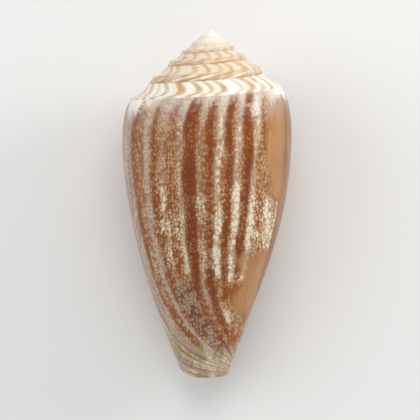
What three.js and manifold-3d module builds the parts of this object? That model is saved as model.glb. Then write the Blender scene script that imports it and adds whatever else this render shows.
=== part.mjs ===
/*
 * Cone shell: the empty shell of a cone snail, lying on its opening with its back up.
 *
 * The shell is one wall of lime, coiled right-handed about a straight axis. Every section through the
 * axis shows the same outline: a sloping ramp from the suture out to the shoulder edge, then the long side
 * of the cone down to the front end. The outline shrinks smoothly with every turn back from the lip, and
 * only the ramps and a narrow band of each older side are left showing: they make the spire.
 *
 * Shell frame: the axis is Y, the apex is at y = 0 and the front end at y = -LENGTH; Z is the back.
 * A place on the shell is given by its turn back from the lip, its radius and its drop below the apex.
 */
import * as THREE from 'three';
import { mergeVertices } from 'three/addons/utils/BufferGeometryUtils.js';
import Module from 'manifold-3d';

// ---- Driving dimensions: millimetres, degrees and turns ----

const LENGTH = 54; // apex to front end, along the axis
const WHORLS = 8; // turns from the lip to the apex
const GROWTH = 0.3; // how fast the size falls with each turn back
const LIP_ANGLE = 145; // from the middle of the back round to the lip

const SIDE_RADIUS = 15.15; // the cone's radius at the shoulder, before the shoulder is rounded off
const SIDE_TAPER = [1.9, 4.9]; // fall of the side's radius: straight share and bowed share
const SHOULDER_ROUNDING = { cut: 1.9, reach: 0.086 }; // taken off the side near the shoulder edge
const FRONT_TIGHTENING = { rate: 2.29, power: 3.7 }; // how the front end winds in towards the axis
const SHOULDER_SWELL = { rate: 0.106, reach: 0.033 }; // how the side below the edge lags behind it

const SPIRE_SLOPE = 0.76; // drop of the shoulder edge per millimetre of its radius, near the apex
const SPIRE_BOW = 0.0075; // and how that drop steepens outwards
const RAMP_SAG = 0.06; // hollow of the ramp, as a share of its width
const BAND = 0.1; // height of the side left showing on the spire, as a share of the edge radius

const LIP_RISE = { height: 3.4, reach: 0.28 }; // the front end of the lip stops short of the shell's
const NOTCH = { height: 0.035, front: 0.05, reach: 0.3 }; // how far the lip is set back at its two ends
const BASE_HOLLOW = 1.2; // the front end is dished by this much

const WALL = 1.5; // of the last whorl
const LIP_WALL = 0.8; // at the lip
const WALL_RUN = 0.08; // turns over which the lip thickens to the full wall
const CHAMBER = { start: -0.04, end: 0.75, clear: 0.1 }; // turns that the opening runs in
const CEILING = 1.6; // thickness of the ramp over the opening
const CANAL = { out: 2, climb: 18, power: 1.6 }; // the opening runs out of the front end, then climbs

const REST_PITCH = 9.3; // the front end dips by this when the shell lies down
const REST_ROLL = 5.8; // and it rolls towards the lip by this

// ---- Fineness of the facets ----

const STEPS_PER_TURN = 64;
const RAMP_STEPS = 3;
const SIDE_STEPS = 16;
const BASE_STEPS = 3;
const SIDE_CROWDING = 1.4; // side steps are closer together near the shoulder
const SPIRE_TURNS = 5; // turns with their own facets; the apex beyond them is a plain point
const CHAMBER_STEPS_PER_TURN = 48;
const CHAMBER_STEPS = 12;

const degrees = THREE.MathUtils.degToRad;
const mix = THREE.MathUtils.lerp;
const smooth = THREE.MathUtils.smoothstep;

// ---- The growing outline ----

/** Size of the shell `turn` turns back, as a share of its size at the lip. */
function growth(turn) {
  const least = Math.exp(-GROWTH * WHORLS);
  return (Math.exp(-GROWTH * turn) - least) / (1 - least);
}

/** Radius of the side, `depth` of the way from the shoulder edge (0) to the front end (1). */
function sideRadius(turn, depth) {
  const rounding = SHOULDER_ROUNDING.cut * Math.exp(-depth / SHOULDER_ROUNDING.reach);
  const radius = SIDE_RADIUS - SIDE_TAPER[0] * depth - SIDE_TAPER[1] * depth ** 2 - rounding;
  const swell = SHOULDER_SWELL.rate * (1 - Math.exp(-depth / SHOULDER_SWELL.reach));
  const tightening = FRONT_TIGHTENING.rate * depth ** FRONT_TIGHTENING.power - swell;
  return radius * growth(turn) * Math.exp(-tightening * Math.tanh(turn));
}

/** Drop of the shoulder edge below the apex. */
function edgeDrop(turn) {
  const radius = sideRadius(turn, 0);
  return SPIRE_SLOPE * radius + SPIRE_BOW * radius ** 2;
}

/** Drop of the front end below the apex. */
function frontDrop(turn) {
  const short = Math.max(0, 1 - turn / LIP_RISE.reach);
  return LENGTH - LIP_RISE.height * short ** 2;
}

/** Share of the side that is left showing on the spire. */
function bandDepth(turn) {
  return (BAND * sideRadius(turn, 0)) / (frontDrop(turn) - edgeDrop(turn));
}

/** Turns that the lip is set back: `height` runs from 0 at the suture to 1 at the shoulder edge. */
function notch(turn, height, depth) {
  const setBack = NOTCH.height * Math.sin(Math.PI * height) + NOTCH.front * depth ** 4;
  return setBack * Math.max(0, 1 - turn / NOTCH.reach) ** 2;
}

/** Point of the shell frame at a turn, a radius and a drop below the apex. */
function point(turn, radius, drop) {
  const partTurn = turn - Math.floor(turn);
  const angle = degrees(LIP_ANGLE) - 2 * Math.PI * partTurn;
  return new THREE.Vector3(-radius * Math.sin(angle), -drop, radius * Math.cos(angle));
}

function sidePoint(turn, depth) {
  const at = turn + notch(turn, 0, depth);
  return point(at, sideRadius(at, depth), mix(edgeDrop(at), frontDrop(at), depth));
}

/** Point of the ramp, `height` of the way from the suture (0) out to the shoulder edge (1). */
function rampPoint(turn, height) {
  const at = turn + notch(turn, height, 0);
  const older = at + 1;
  const suture = { radius: sideRadius(older, bandDepth(older)) };
  suture.drop = mix(edgeDrop(older), frontDrop(older), bandDepth(older));
  const edge = { radius: sideRadius(at, 0), drop: edgeDrop(at) };
  const sag = RAMP_SAG * (edge.radius - suture.radius) * Math.sin(Math.PI * height);
  return point(at, mix(suture.radius, edge.radius, height), mix(suture.drop, edge.drop, height) + sag);
}

/** Point of the dished front end, `inward` of the way from its rim (0) to the axis (1). */
function basePoint(turn, inward) {
  const at = turn + notch(turn, 0, 1);
  const drop = mix(frontDrop(at), LENGTH, inward) - BASE_HOLLOW * Math.sin((Math.PI / 2) * inward);
  return point(at, sideRadius(at, 1) * (1 - inward), drop);
}

/** Points from the suture over the ramp, down the side and in to the axis. */
function outline(turn) {
  const points = [];
  for (let i = 0; i <= RAMP_STEPS; i++) {
    points.push(rampPoint(turn, i / RAMP_STEPS));
  }
  const band = bandDepth(turn);
  for (let i = 0; i <= SIDE_STEPS; i++) {
    points.push(sidePoint(turn, mix(band, 1, (i / SIDE_STEPS) ** SIDE_CROWDING)));
  }
  for (let i = 1; i <= BASE_STEPS; i++) {
    points.push(basePoint(turn, i / BASE_STEPS));
  }
  return points;
}

// ---- Facets ----

/** Triangles between neighbouring rows of points, without those that have no area. */
function sheet(rows) {
  const triangles = [];
  for (let i = 0; i + 1 < rows.length; i++) {
    for (let j = 0; j + 1 < rows[i].length; j++) {
      const [a, b, c, d] = [rows[i][j], rows[i][j + 1], rows[i + 1][j + 1], rows[i + 1][j]];
      triangles.push([a, b, c], [a, c, d]);
    }
  }
  return triangles.filter(([a, b, c]) => !a.equals(b) && !b.equals(c) && !c.equals(a));
}

/** Triangles from one point to each pair of neighbours in a row. */
function fan(centre, row) {
  return row.slice(1).map((next, i) => [centre, row[i], next]);
}

function turned(triangles) {
  return triangles.map(([a, b, c]) => [a, c, b]);
}

/** The values from `start` to `end` in even steps, both ends included. */
function steps(start, end, count) {
  return Array.from({ length: count + 1 }, (_, i) => mix(start, end, i / count));
}

/** Triangles as a geometry whose corners are shared. */
function geometryOf(triangles) {
  const positions = triangles.flat().flatMap((corner) => corner.toArray());
  const geometry = new THREE.BufferGeometry();
  geometry.setAttribute('position', new THREE.Float32BufferAttribute(positions, 3));
  return mergeVertices(geometry, 1e-4);
}

/** The shell as if it were filled: last whorl, spire, and the flat face that the lip ends in. */
function filledShell() {
  const lastWhorl = steps(0, 1, STEPS_PER_TURN).map(outline);
  const olderTurns = steps(1, SPIRE_TURNS, (SPIRE_TURNS - 1) * STEPS_PER_TURN);
  const ramps = olderTurns.map((turn) => steps(0, 1, RAMP_STEPS).map((height) => rampPoint(turn, height)));
  const bandTurns = steps(1, SPIRE_TURNS + 1, SPIRE_TURNS * STEPS_PER_TURN);
  const bands = bandTurns.map((turn) => [sidePoint(turn, 0), sidePoint(turn, bandDepth(turn))]);

  const apexRing = bands.slice(-STEPS_PER_TURN - 1).map((row) => row[0]);
  const apexStep = [...bands.at(-1), ...ramps.at(-1).slice(1)];
  const apex = new THREE.Vector3(0, 0, 0);

  const first = lastWhorl[0];
  const last = lastWhorl.at(-1);
  const suture = RAMP_STEPS + 1; // place in the outline where the ramp has ended and the side begins
  const lipFace = turned(fan(first[0], first.slice(1, suture + 1)));
  lipFace.push(...sheet([last.slice(suture), first.slice(suture)]));

  return [
    ...sheet(lastWhorl),
    ...sheet(ramps),
    ...sheet(bands),
    ...fan(apex, apexRing),
    ...fan(apex, apexStep),
    ...lipFace,
  ];
}

/** The hollow behind the lip, as a body that runs out past the lip and the front end. */
function chamber() {
  const { start, end, clear } = CHAMBER;
  const count = Math.round((end - start) * CHAMBER_STEPS_PER_TURN);
  const wallRadius = (turn, drop) => {
    const depth = (drop - edgeDrop(turn)) / (frontDrop(turn) - edgeDrop(turn));
    return sideRadius(turn, THREE.MathUtils.clamp(depth, 0, 1));
  };
  const sections = steps(start, end, count).map((turn) => {
    const wall = mix(LIP_WALL, WALL, smooth(turn, 0, WALL_RUN));
    const floor = frontDrop(turn) + CANAL.out - CANAL.climb * Math.max(0, turn) ** CANAL.power;
    const outerTop = edgeDrop(turn) + CEILING;
    const innerTop = edgeDrop(turn + 1) + CEILING + BAND * sideRadius(turn + 1, 0);
    const outer = steps(outerTop, floor, CHAMBER_STEPS);
    const inner = steps(innerTop, floor, CHAMBER_STEPS);
    return {
      outer: outer.map((drop) => point(turn, wallRadius(turn, drop) - wall, drop)),
      inner: inner.map((drop) => point(turn, wallRadius(turn + 1, drop) + clear, drop)),
    };
  });
  const loops = sections.map(({ outer, inner }) => [...outer, ...[...inner].reverse(), outer[0]]);
  const [near, far] = [sections[0], sections.at(-1)];
  return [
    ...sheet(loops),
    ...sheet([near.inner, near.outer]),
    ...sheet([far.outer, far.inner]),
  ];
}

// ---- Solids ----

const wasm = await Module();
wasm.setup();

function solid(triangles) {
  const geometry = geometryOf(triangles);
  const vertProperties = new Float32Array(geometry.attributes.position.array);
  const triVerts = new Uint32Array(geometry.index.array);
  return new wasm.Manifold(new wasm.Mesh({ numProp: 3, vertProperties, triVerts }));
}

function geometryOfSolid(body) {
  const mesh = body.getMesh();
  const geometry = new THREE.BufferGeometry();
  geometry.setAttribute('position', new THREE.BufferAttribute(new Float32Array(mesh.vertProperties), 3));
  geometry.setIndex(new THREE.BufferAttribute(new Uint32Array(mesh.triVerts), 1));
  return geometry;
}

const filled = solid(filledShell());
const hollow = solid(chamber());
const geometry = geometryOfSolid(filled.subtract(hollow));

// ---- The shell lying down, standing on Z = 0 over the origin ----

const pitch = new THREE.Matrix4().makeRotationX(degrees(REST_PITCH));
const roll = new THREE.Matrix4().makeRotationY(degrees(REST_ROLL));
geometry.applyMatrix4(pitch.multiply(roll));
geometry.computeBoundingBox();
const { min, max } = geometry.boundingBox;
geometry.translate(-(min.x + max.x) / 2, -(min.y + max.y) / 2, -min.z);

const porcelain = new THREE.MeshStandardMaterial({ color: 0xb98a62, roughness: 0.25, metalness: 0 });
const shell = new THREE.Mesh(geometry, porcelain);
shell.name = 'shell';

const coneShell = new THREE.Group();
coneShell.add(shell);

export default coneShell;
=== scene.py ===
"""Looks of the cone shell: its fine surface, its markings and gloss, the floor, the lights and the camera.

The shell is worked out in a frame of its own, in millimetres: the axis is Y, the apex is at y = 0 and the
front end at y = -length, and Z is the middle of the back. A place on it is given by its turn back from
the lip, its radius and its drop below the apex. The finished mesh is laid down and put where the frame's
solid is.
"""

import logging
import math
from dataclasses import dataclass, field
from enum import Enum

import bmesh
import bpy
import numpy as np
from mathutils import Matrix, Vector


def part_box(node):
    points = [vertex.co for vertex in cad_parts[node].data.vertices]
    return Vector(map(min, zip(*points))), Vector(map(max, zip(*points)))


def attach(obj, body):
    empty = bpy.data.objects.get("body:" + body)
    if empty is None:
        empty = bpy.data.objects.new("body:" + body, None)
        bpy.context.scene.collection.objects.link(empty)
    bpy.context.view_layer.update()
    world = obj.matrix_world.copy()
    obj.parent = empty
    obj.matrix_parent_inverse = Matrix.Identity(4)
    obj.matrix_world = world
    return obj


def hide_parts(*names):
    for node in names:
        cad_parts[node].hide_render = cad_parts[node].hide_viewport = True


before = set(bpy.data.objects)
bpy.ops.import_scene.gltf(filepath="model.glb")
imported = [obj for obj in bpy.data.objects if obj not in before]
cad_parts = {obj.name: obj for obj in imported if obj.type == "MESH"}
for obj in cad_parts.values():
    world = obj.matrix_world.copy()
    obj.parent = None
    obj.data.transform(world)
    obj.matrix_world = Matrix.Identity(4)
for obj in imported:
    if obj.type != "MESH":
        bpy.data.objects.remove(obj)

PIECE = "cone_shell"
LOG = logging.getLogger(PIECE)
NODE = "shell"
MM = 0.001
TAU = 2 * math.pi
SHORTEST_WAVE = 0.6
LONGEST_WAVE = 1.7

Array = np.ndarray
Colour = tuple[float, float, float]
Socket = bpy.types.NodeSocket
Blendable = Colour | Socket


# ---- Numbers over arrays ----


def mix(start: Array, end: Array, share: Array) -> Array:
    """Value that is `share` of the way from `start` to `end`."""
    return start + (end - start) * share


def smooth(value: Array, low: float, high: float) -> Array:
    """Step from 0 at `low` to 1 at `high`, with level ends: 3x^2 - 2x^3."""
    x = np.clip((value - low) / (high - low), 0, 1)
    return x * x * (3 - 2 * x)


def bell(value: Array, middle: float, width: float) -> Array:
    """Bump of height 1: e to the minus square of the distance from `middle` in widths."""
    return np.exp(-(((value - middle) / width) ** 2))


def ripple(x: Array, y: Array, period: float, seed: int, waves: int = 7) -> Array:
    """Slow uneven swell between about -1 and 1: a sum of plane waves in seeded directions.

    Args:
        x: First coordinate, in any unit.
        y: Second coordinate, in the same unit.
        period: Mean length of the waves in that unit.
        seed: Picks the directions and phases.
        waves: How many waves are summed.

    Returns:
        The swell at each place.
    """
    rng = np.random.default_rng(seed)
    total = np.zeros(np.broadcast(x, y).shape)
    for _ in range(waves):
        heading, phase = rng.uniform(0, TAU, 2)
        length = period * rng.uniform(SHORTEST_WAVE, LONGEST_WAVE)
        total += np.sin(TAU * (x * math.cos(heading) + y * math.sin(heading)) / length + phase)
    return total / math.sqrt(waves)


@dataclass(frozen=True)
class Fade:
    """A soft step along a coordinate, from none at `low` to all at `high`."""

    low: float
    high: float

    def up(self, value: Array) -> Array:
        """Share that has come in: the smooth step between the two ends."""
        return smooth(value, self.low, self.high)

    def down(self, value: Array) -> Array:
        """Share that is left: one less the step up."""
        return 1 - self.up(value)


# ---- The shape that grows ----


@dataclass(frozen=True)
class GrowthLaw:
    """How the outline of a section through the axis shrinks with every turn back from the lip.

    Lengths are in millimetres, angles in degrees, and rates are per turn. A depth runs down the side,
    from 0 at the shoulder edge to 1 at the front end.
    """

    length: float = 54.0
    whorls: float = 8.0
    rate: float = 0.3
    lip_angle: float = 145.0
    side_radius: float = 15.15
    straight_taper: float = 1.9
    bowed_taper: float = 4.9
    shoulder_cut: float = 1.9
    shoulder_reach: float = 0.086
    tightening: float = 2.29
    tightening_power: float = 3.7
    swell: float = 0.106
    swell_reach: float = 0.033
    spire_slope: float = 0.76
    spire_bow: float = 0.0075
    band: float = 0.1
    lip_rise: float = 3.4
    lip_rise_reach: float = 0.28
    columella_rise: float = 1.0
    columella_run: Fade = Fade(1.0, 2.0)
    sweep_start: float = 0.6
    sweep_bend: float = 0.22
    sweep_power: float = 2.5
    end_bend: float = 0.35
    end_power: float = 10.0

    def size(self, turn: Array) -> Array:
        """Share of the lip's size: an exponential fall that reaches nothing at the apex."""
        least = math.exp(-self.rate * self.whorls)
        return (np.exp(-self.rate * turn) - least) / (1 - least)

    def radius(self, turn: Array, depth: Array) -> Array:
        """Radius of the side: a bowed cone, rounded at the shoulder, winding in faster at the front end.

        The taper is a line and a square of the depth, the rounding an exponential of it, and the winding
        a power of it that an exponential holds back just below the shoulder.

        Args:
            turn: Turn back from the lip.
            depth: Depth down the side.

        Returns:
            The radius.
        """
        cut = self.shoulder_cut * np.exp(-depth / self.shoulder_reach)
        lip = self.side_radius - self.straight_taper * depth - self.bowed_taper * depth**2 - cut
        lag = self.swell * (1 - np.exp(-depth / self.swell_reach))
        wind = self.tightening * np.maximum(depth, 0) ** self.tightening_power - lag
        return lip * self.size(turn) * np.exp(-wind * np.tanh(turn))

    def edge_drop(self, turn: Array) -> Array:
        """Drop of the shoulder edge below the apex: slope times radius, and a little of its square."""
        radius = self.radius(turn, np.zeros_like(turn))
        return self.spire_slope * radius + self.spire_bow * radius**2

    def front_drop(self, turn: Array) -> Array:
        """Drop of the front end: the whole length, less at the lip and less on the inner turns."""
        short = np.maximum(0, 1 - turn / self.lip_rise_reach)
        return self.length - self.lip_rise * short**2 - self.columella_rise * self.columella_run.up(turn)

    def band_depth(self, turn: Array) -> Array:
        """Depth of the suture: the share of the side that the next whorl leaves showing."""
        edge = self.radius(turn, np.zeros_like(turn))
        return self.band * edge / (self.front_drop(turn) - self.edge_drop(turn))

    def depth_of(self, turn: Array, drop: Array) -> Array:
        """Depth down the side at a drop below the apex, kept between 0 and 1."""
        edge = self.edge_drop(turn)
        return np.clip((drop - edge) / (self.front_drop(turn) - edge), 0, 1)

    def sweep(self, depth: Array) -> Array:
        """Turns that a growth line leans back towards the front end: two powers of the depth past a start."""
        low = np.clip((depth - self.sweep_start) / (1 - self.sweep_start), 0, 1)
        return self.sweep_bend * low**self.sweep_power + self.end_bend * low**self.end_power

    def place(self, turn: Array, radius: Array, drop: Array) -> Array:
        """Points at turns, radii and drops: once round the axis for every turn, right-handed."""
        angle = math.radians(self.lip_angle) - TAU * np.mod(turn, 1)
        return np.stack([-radius * np.sin(angle), -drop, radius * np.cos(angle)], axis=-1)


class Skin(Enum):
    """What a stretch of surface is, which its markings depend on."""

    SIDE = 0
    FRONT = 1
    RAMP = 2
    INSIDE = 3


@dataclass
class Sheet:
    """A grid of points with the growth coordinates of each.

    Attributes:
        points: Places, rows by columns by 3.
        turn: Turn back from the lip of the material at each point.
        depth: Depth down the side, or height up the ramp less 1.
        skin: What the sheet is.
    """

    points: Array
    turn: Array
    depth: Array
    skin: Skin


@dataclass(frozen=True)
class Folds:
    """One set of growth folds: how fast they change down the side, their mean length and their seed."""

    down_rate: float
    length: float
    seed: int


@dataclass(frozen=True)
class ShellSurface:
    """The whole closed surface of the shell, as sheets whose edges meet point to point.

    Lengths are in millimetres. Steps are counts of facets.
    """

    law: GrowthLaw = field(default_factory=GrowthLaw)
    per_turn: int = 240
    ramp_steps: int = 12
    band_steps: int = 3
    side_steps: int = 96
    roll_steps: int = 6
    junction_steps: int = 6
    spire_turns: float = 5.0
    front_turns: float = 2.5
    inside_turns: float = 0.6
    canal_end: float = 0.25
    canal_climb: float = 18.0
    canal_power: float = 1.6
    side_crowding: float = 1.25
    ramp_sag: float = 0.075
    rim_height: float = 0.018
    nodule_height: float = 0.012
    nodules: int = 23
    lip_wall: float = 0.7
    full_wall: float = 1.5
    wall_run: float = 0.08
    front_thinning: float = 0.35
    widest_roll: float = 0.38
    roll_height: float = 0.3
    dish: float = 0.3
    ceiling: float = 1.6
    lip_bulge: float = 0.22
    notch: float = 0.035
    front_set_back: float = 0.05
    set_back_reach: float = 0.3
    rim_middle: float = 0.9
    rim_width: float = 0.13
    rim_until: Fade = Fade(0.9, 1.0)
    rim_lean: float = 0.5
    nodule_from: Fade = Fade(0.7, 2.2)
    nodule_sway: float = 1.7
    nodule_sway_rate: int = 5
    roll_from: Fade = Fade(0.9, 1.0)
    lip_bulge_from: Fade = Fade(0.0, 0.12)
    lip_bulge_until: Fade = Fade(0.94, 1.0)
    older_from: Fade = Fade(0.3, 0.55)
    older_until: Fade = Fade(1.05, 1.25)
    fasciole: float = 0.22
    fasciole_depth: float = 0.87
    fasciole_width: float = 0.035
    front_pull: float = 0.4
    pull_from: Fade = Fade(0.88, 1.0)
    fold_depth: float = 0.035
    fold_rate: float = 88.0
    fold_unevenness: float = 0.5
    folds: tuple[Folds, ...] = (Folds(4.0, 2.6, 3), Folds(6.0, 1.3, 4))
    folds_from: Fade = Fade(0.0, 0.06)
    folds_until: Fade = Fade(0.72, 0.84)
    full_relief_radius: float = 4.0

    @property
    def across_steps(self) -> int:
        """Facets across the ceiling, the floor and the front dish, which close the same slit."""
        return self.ramp_steps + self.band_steps

    def turns(self, start: float, end: float) -> Array:
        """Turns from start to end as a column, in whole facets."""
        first, last = round(start * self.per_turn), round(end * self.per_turn)
        return (np.arange(first, last + 1) / self.per_turn)[:, None]

    def set_back(self, turn: Array, height: Array, depth: Array) -> Array:
        """Turn moved back near the lip, in a notch on the ramp and in a sweep at the front end.

        Args:
            turn: Turn of the even grid.
            height: Height up the ramp, 1 on the side.
            depth: Depth down the side, 0 on the ramp.

        Returns:
            The turn at which the point is really made.
        """
        fade = np.maximum(0, 1 - turn / self.set_back_reach) ** 2
        shift = self.notch * np.sin(math.pi * height) + self.front_set_back * depth**4
        return turn + shift * fade

    def wall(self, turn: Array, depth: Array) -> Array:
        """Thickness of the wall: thin at the lip and the front end, and never more than the radius allows.

        Args:
            turn: Turn back from the lip.
            depth: Depth down the side.

        Returns:
            The thickness.
        """
        thick = mix(self.lip_wall, self.full_wall, smooth(turn, 0, self.wall_run))
        thinned = thick * (1 - self.front_thinning * depth**4)
        return np.minimum(thinned, self.widest_roll * self.law.radius(turn, depth))

    def side_depths(self, turn: Array) -> Array:
        """Depths of the side's columns below the suture, closer together near the shoulder by a power.

        Args:
            turn: Turn back from the lip, as a column.

        Returns:
            The depths, a row for each turn.
        """
        band = self.law.band_depth(turn)
        share = (np.arange(self.side_steps + 1) / self.side_steps) ** self.side_crowding
        return mix(band, 1.0, share[None, :])

    def side_relief(self, turn: Array, depth: Array) -> Array:
        """Small ups and downs of the side, added to its radius.

        Growth folds are slow waves along the turns, cut inwards. The fasciole is a low ridge near the
        front end of the older half, a bell over the depth, and past it the side is pulled in.

        Args:
            turn: Turn back from the lip.
            depth: Depth down the side.

        Returns:
            The height of the relief.
        """
        run = (turn - self.law.sweep(depth)) * self.fold_rate
        swell = sum(ripple(run, depth * folds.down_rate, folds.length, folds.seed) for folds in self.folds)
        folded = 1 + self.fold_unevenness * swell * self.folds_until.down(depth)
        folded = self.fold_depth * folded * self.folds_from.up(depth)
        older = self.older_from.up(turn) * self.older_until.down(turn)
        ridge = self.fasciole * bell(depth, self.fasciole_depth, self.fasciole_width) * older
        pulled = self.front_pull * self.pull_from.up(depth) * older
        fade = np.clip(self.law.radius(turn, depth) / self.full_relief_radius, 0, 1)
        return (ridge - pulled - folded) * fade

    def side(self, turn: Array, depth: Array) -> tuple[Array, Array]:
        """Radius and drop of the outside of the side.

        Args:
            turn: Turn back from the lip.
            depth: Depth down the side.

        Returns:
            The radius with its relief, and the drop less the height of the front end's rim.
        """
        radius = self.law.radius(turn, depth) + self.side_relief(turn, depth)
        roll = self.roll_height * self.wall(turn, np.ones_like(depth)) * self.roll_from.up(depth)
        return radius, mix(self.law.edge_drop(turn), self.law.front_drop(turn), depth) - roll

    def side_sheet(self, turn: Array, depth: Array, skin: Skin = Skin.SIDE) -> Sheet:
        """Sheet of the side's outside at an even grid of turns and depths.

        Args:
            turn: Turns, as a column.
            depth: Depths, as a row or a row for each turn.
            skin: What the sheet is.

        Returns:
            The sheet.
        """
        turn, depth = np.broadcast_arrays(turn, depth)
        at = self.set_back(turn, np.ones_like(depth), depth)
        return Sheet(self.law.place(at, *self.side(at, depth)), turn, depth, skin)

    def ramp_sheet(self, turn: Array) -> Sheet:
        """Sheet of the ramp, from the suture out to the shoulder edge.

        The ramp hangs below its chord by a sine, then rises to a low rim before the edge; the rim of the
        older whorls is knobbly, by a sine whose beads an added sine makes uneven.

        Args:
            turn: Turns, as a column.

        Returns:
            The sheet.
        """
        height = (np.arange(self.ramp_steps + 1) / self.ramp_steps)[None, :]
        turn, height = np.broadcast_arrays(turn, height)
        at = self.set_back(turn, height, np.zeros_like(height))
        inner_radius, inner_drop = self.side(at + 1, self.law.band_depth(at + 1))
        outer_radius, outer_drop = self.side(at, np.zeros_like(at))
        width = outer_radius - inner_radius
        sag = self.ramp_sag * width * np.sin(math.pi * height)
        rim = bell(height, self.rim_middle, self.rim_width) * self.rim_until.down(height)
        sway = self.nodule_sway * np.sin(TAU * self.nodule_sway_rate * at)
        beads = np.sin(TAU * self.nodules * at + sway) * self.nodule_from.up(at)
        raised = rim * outer_radius * (self.rim_height + self.nodule_height * beads)
        drop = mix(inner_drop, outer_drop, height) + sag - raised
        points = self.law.place(at, mix(inner_radius, outer_radius, height) + self.rim_lean * raised, drop)
        return Sheet(points, turn, height - 1, Skin.RAMP)

    def roll_sheet(self, turn: Array) -> Sheet:
        """Sheet of the rim at the front end: half an ellipse from the outside of the wall to the inside.

        Args:
            turn: Turns, as a column.

        Returns:
            The sheet.
        """
        swing = (math.pi * np.arange(self.roll_steps + 1) / self.roll_steps)[None, :]
        turn, swing = np.broadcast_arrays(turn, swing)
        end = np.ones_like(turn)
        at = self.set_back(turn, end, end)
        radius, drop = self.side(at, end)
        wall = self.wall(at, end)
        inset, below = wall * (1 - np.cos(swing)) / 2, self.roll_height * wall * np.sin(swing)
        return Sheet(self.law.place(at, radius - inset, drop + below), turn, end, Skin.FRONT)

    def dish_sheet(self, turn: Array) -> Sheet:
        """Sheet of the closed front end, hollow by a sine between the rim of one turn and that of the next.

        Args:
            turn: Turns, as a column.

        Returns:
            The sheet.
        """
        share = (np.arange(self.across_steps + 1) / self.across_steps)[None, :]
        outer = self.roll_sheet(turn).points[:, -1:]
        inner = self.roll_sheet(turn + 1).points[:, :1]
        points = mix(outer, inner, share[..., None])
        width = np.linalg.norm(outer - inner, axis=-1)
        points[..., 1] += self.dish * width * np.sin(math.pi * share)
        turn, depth = np.broadcast_arrays(turn, np.ones_like(share))
        return Sheet(points, turn, depth, Skin.FRONT)

    def inner_wall(self, turn: Array) -> Array:
        """Points of the wall's inside, from the front end or the canal's floor up to the ceiling.

        Args:
            turn: Turns, as a column.

        Returns:
            The points, a row for each turn.
        """
        steps = self.side_steps - self.junction_steps
        share = (1 - np.arange(steps + 1) / steps)[None, :]
        top = self.law.edge_drop(turn) + self.ceiling
        bottom = self.law.front_drop(turn) - self.climb(turn)
        depth = self.law.depth_of(turn, mix(top, bottom, share))
        at = self.set_back(turn, np.ones_like(depth), depth)
        radius, drop = self.side(at, depth)
        return self.law.place(at, radius - self.wall(at, depth), drop)

    def climb(self, turn: Array) -> Array:
        """Rise of the canal's floor: none where the canal is open, then a power of the turn."""
        return self.canal_climb * np.maximum(0, turn**self.canal_power - self.canal_end**self.canal_power)

    def older_wall(self, turn: Array) -> Array:
        """Points of the older whorl's side that faces the hollow, from the ceiling down to the floor.

        Args:
            turn: Turns of the hollow, as a column.

        Returns:
            The points, a row for each turn.
        """
        older = turn + 1
        depth = self.side_depths(older)[:, self.junction_steps :]
        end = self.law.depth_of(older, self.law.front_drop(older) - self.climb(turn))
        top = depth[:, :1]
        depth = mix(top, end, (depth - top) / (1 - top))
        return self.side_sheet(older, depth).points

    def inside_sheet(self) -> Sheet:
        """Sheet of the hollow: up the inside of the wall, across the ceiling and down the older whorl.

        Returns:
            The sheet.
        """
        turn = self.turns(0, self.inside_turns)
        wall, older = self.inner_wall(turn), self.older_wall(turn)
        ceiling = self.across(wall[:, -1:], older[:, :1])
        points = np.concatenate([wall, ceiling[:, 1:-1], older], axis=1)
        return self.plain_sheet(points, turn, Skin.INSIDE)

    def across(self, start: Array, end: Array) -> Array:
        """Straight rows from one column of points to another."""
        share = (np.arange(self.across_steps + 1) / self.across_steps)[None, :, None]
        return mix(start, end, share)

    def plain_sheet(self, points: Array, turn: Array, skin: Skin) -> Sheet:
        """Sheet of one skin whose depth isn't used."""
        turn = np.broadcast_to(turn, points.shape[:2])
        return Sheet(points, turn, np.ones(points.shape[:2]), skin)

    def floor_sheet(self) -> Sheet:
        """Sheet of the canal's floor behind the place where the canal has closed.

        Returns:
            The sheet.
        """
        turn = self.turns(self.canal_end, self.inside_turns)
        points = self.across(self.inner_wall(turn)[:, :1], self.older_wall(turn)[:, -1:])
        points[:1] = self.dish_sheet(turn[:1]).points
        return self.plain_sheet(points, turn, Skin.INSIDE)

    def end_wall(self) -> Sheet:
        """Flat sheet that ends the hollow, far behind the lip.

        Returns:
            The sheet.
        """
        turn = self.turns(self.inside_turns, self.inside_turns)
        wall, older = self.inner_wall(turn)[0, ::-1], self.older_wall(turn)[0]
        points = self.across(wall[:, None], older[:, None])
        return self.plain_sheet(points, turn, Skin.INSIDE)

    def lip_sheet(self) -> Sheet:
        """Rounded sheet of the lip, across the wall's thickness from its outside to its inside.

        It bulges past the last turn by a sine across the wall, and less towards its two ends.

        Returns:
            The sheet.
        """
        start = self.turns(0, 0)
        outer = np.concatenate(
            [
                self.ramp_sheet(start).points[0],
                self.band_sheet(start).points[0, 1:],
                self.side_sheet(start, self.side_depths(start)).points[0, 1:],
            ]
        )
        older = self.side_sheet(start + 1, self.side_depths(start + 1)).points[0, : self.junction_steps + 1]
        wall = self.inner_wall(start)
        ceiling = self.across(wall[:, -1:], older[None, -1:])[0, ::-1]
        inner = np.concatenate([older, ceiling[1:], wall[0, ::-1][1:]])
        share = (np.arange(self.roll_steps + 1) / self.roll_steps)[None, :, None]
        points = mix(outer[:, None], inner[:, None], share)
        along = (np.arange(len(outer)) / (len(outer) - 1))[:, None]
        ends = self.lip_bulge_from.up(along) * self.lip_bulge_until.down(along)
        bulge = self.lip_bulge * np.sin(math.pi * share[..., 0]) * ends
        angle = math.radians(self.law.lip_angle)
        points[..., 0] -= bulge * math.cos(angle)
        points[..., 2] -= bulge * math.sin(angle)
        points[-1] = self.roll_sheet(start).points[0]
        return self.plain_sheet(points, start, Skin.INSIDE)

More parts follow.
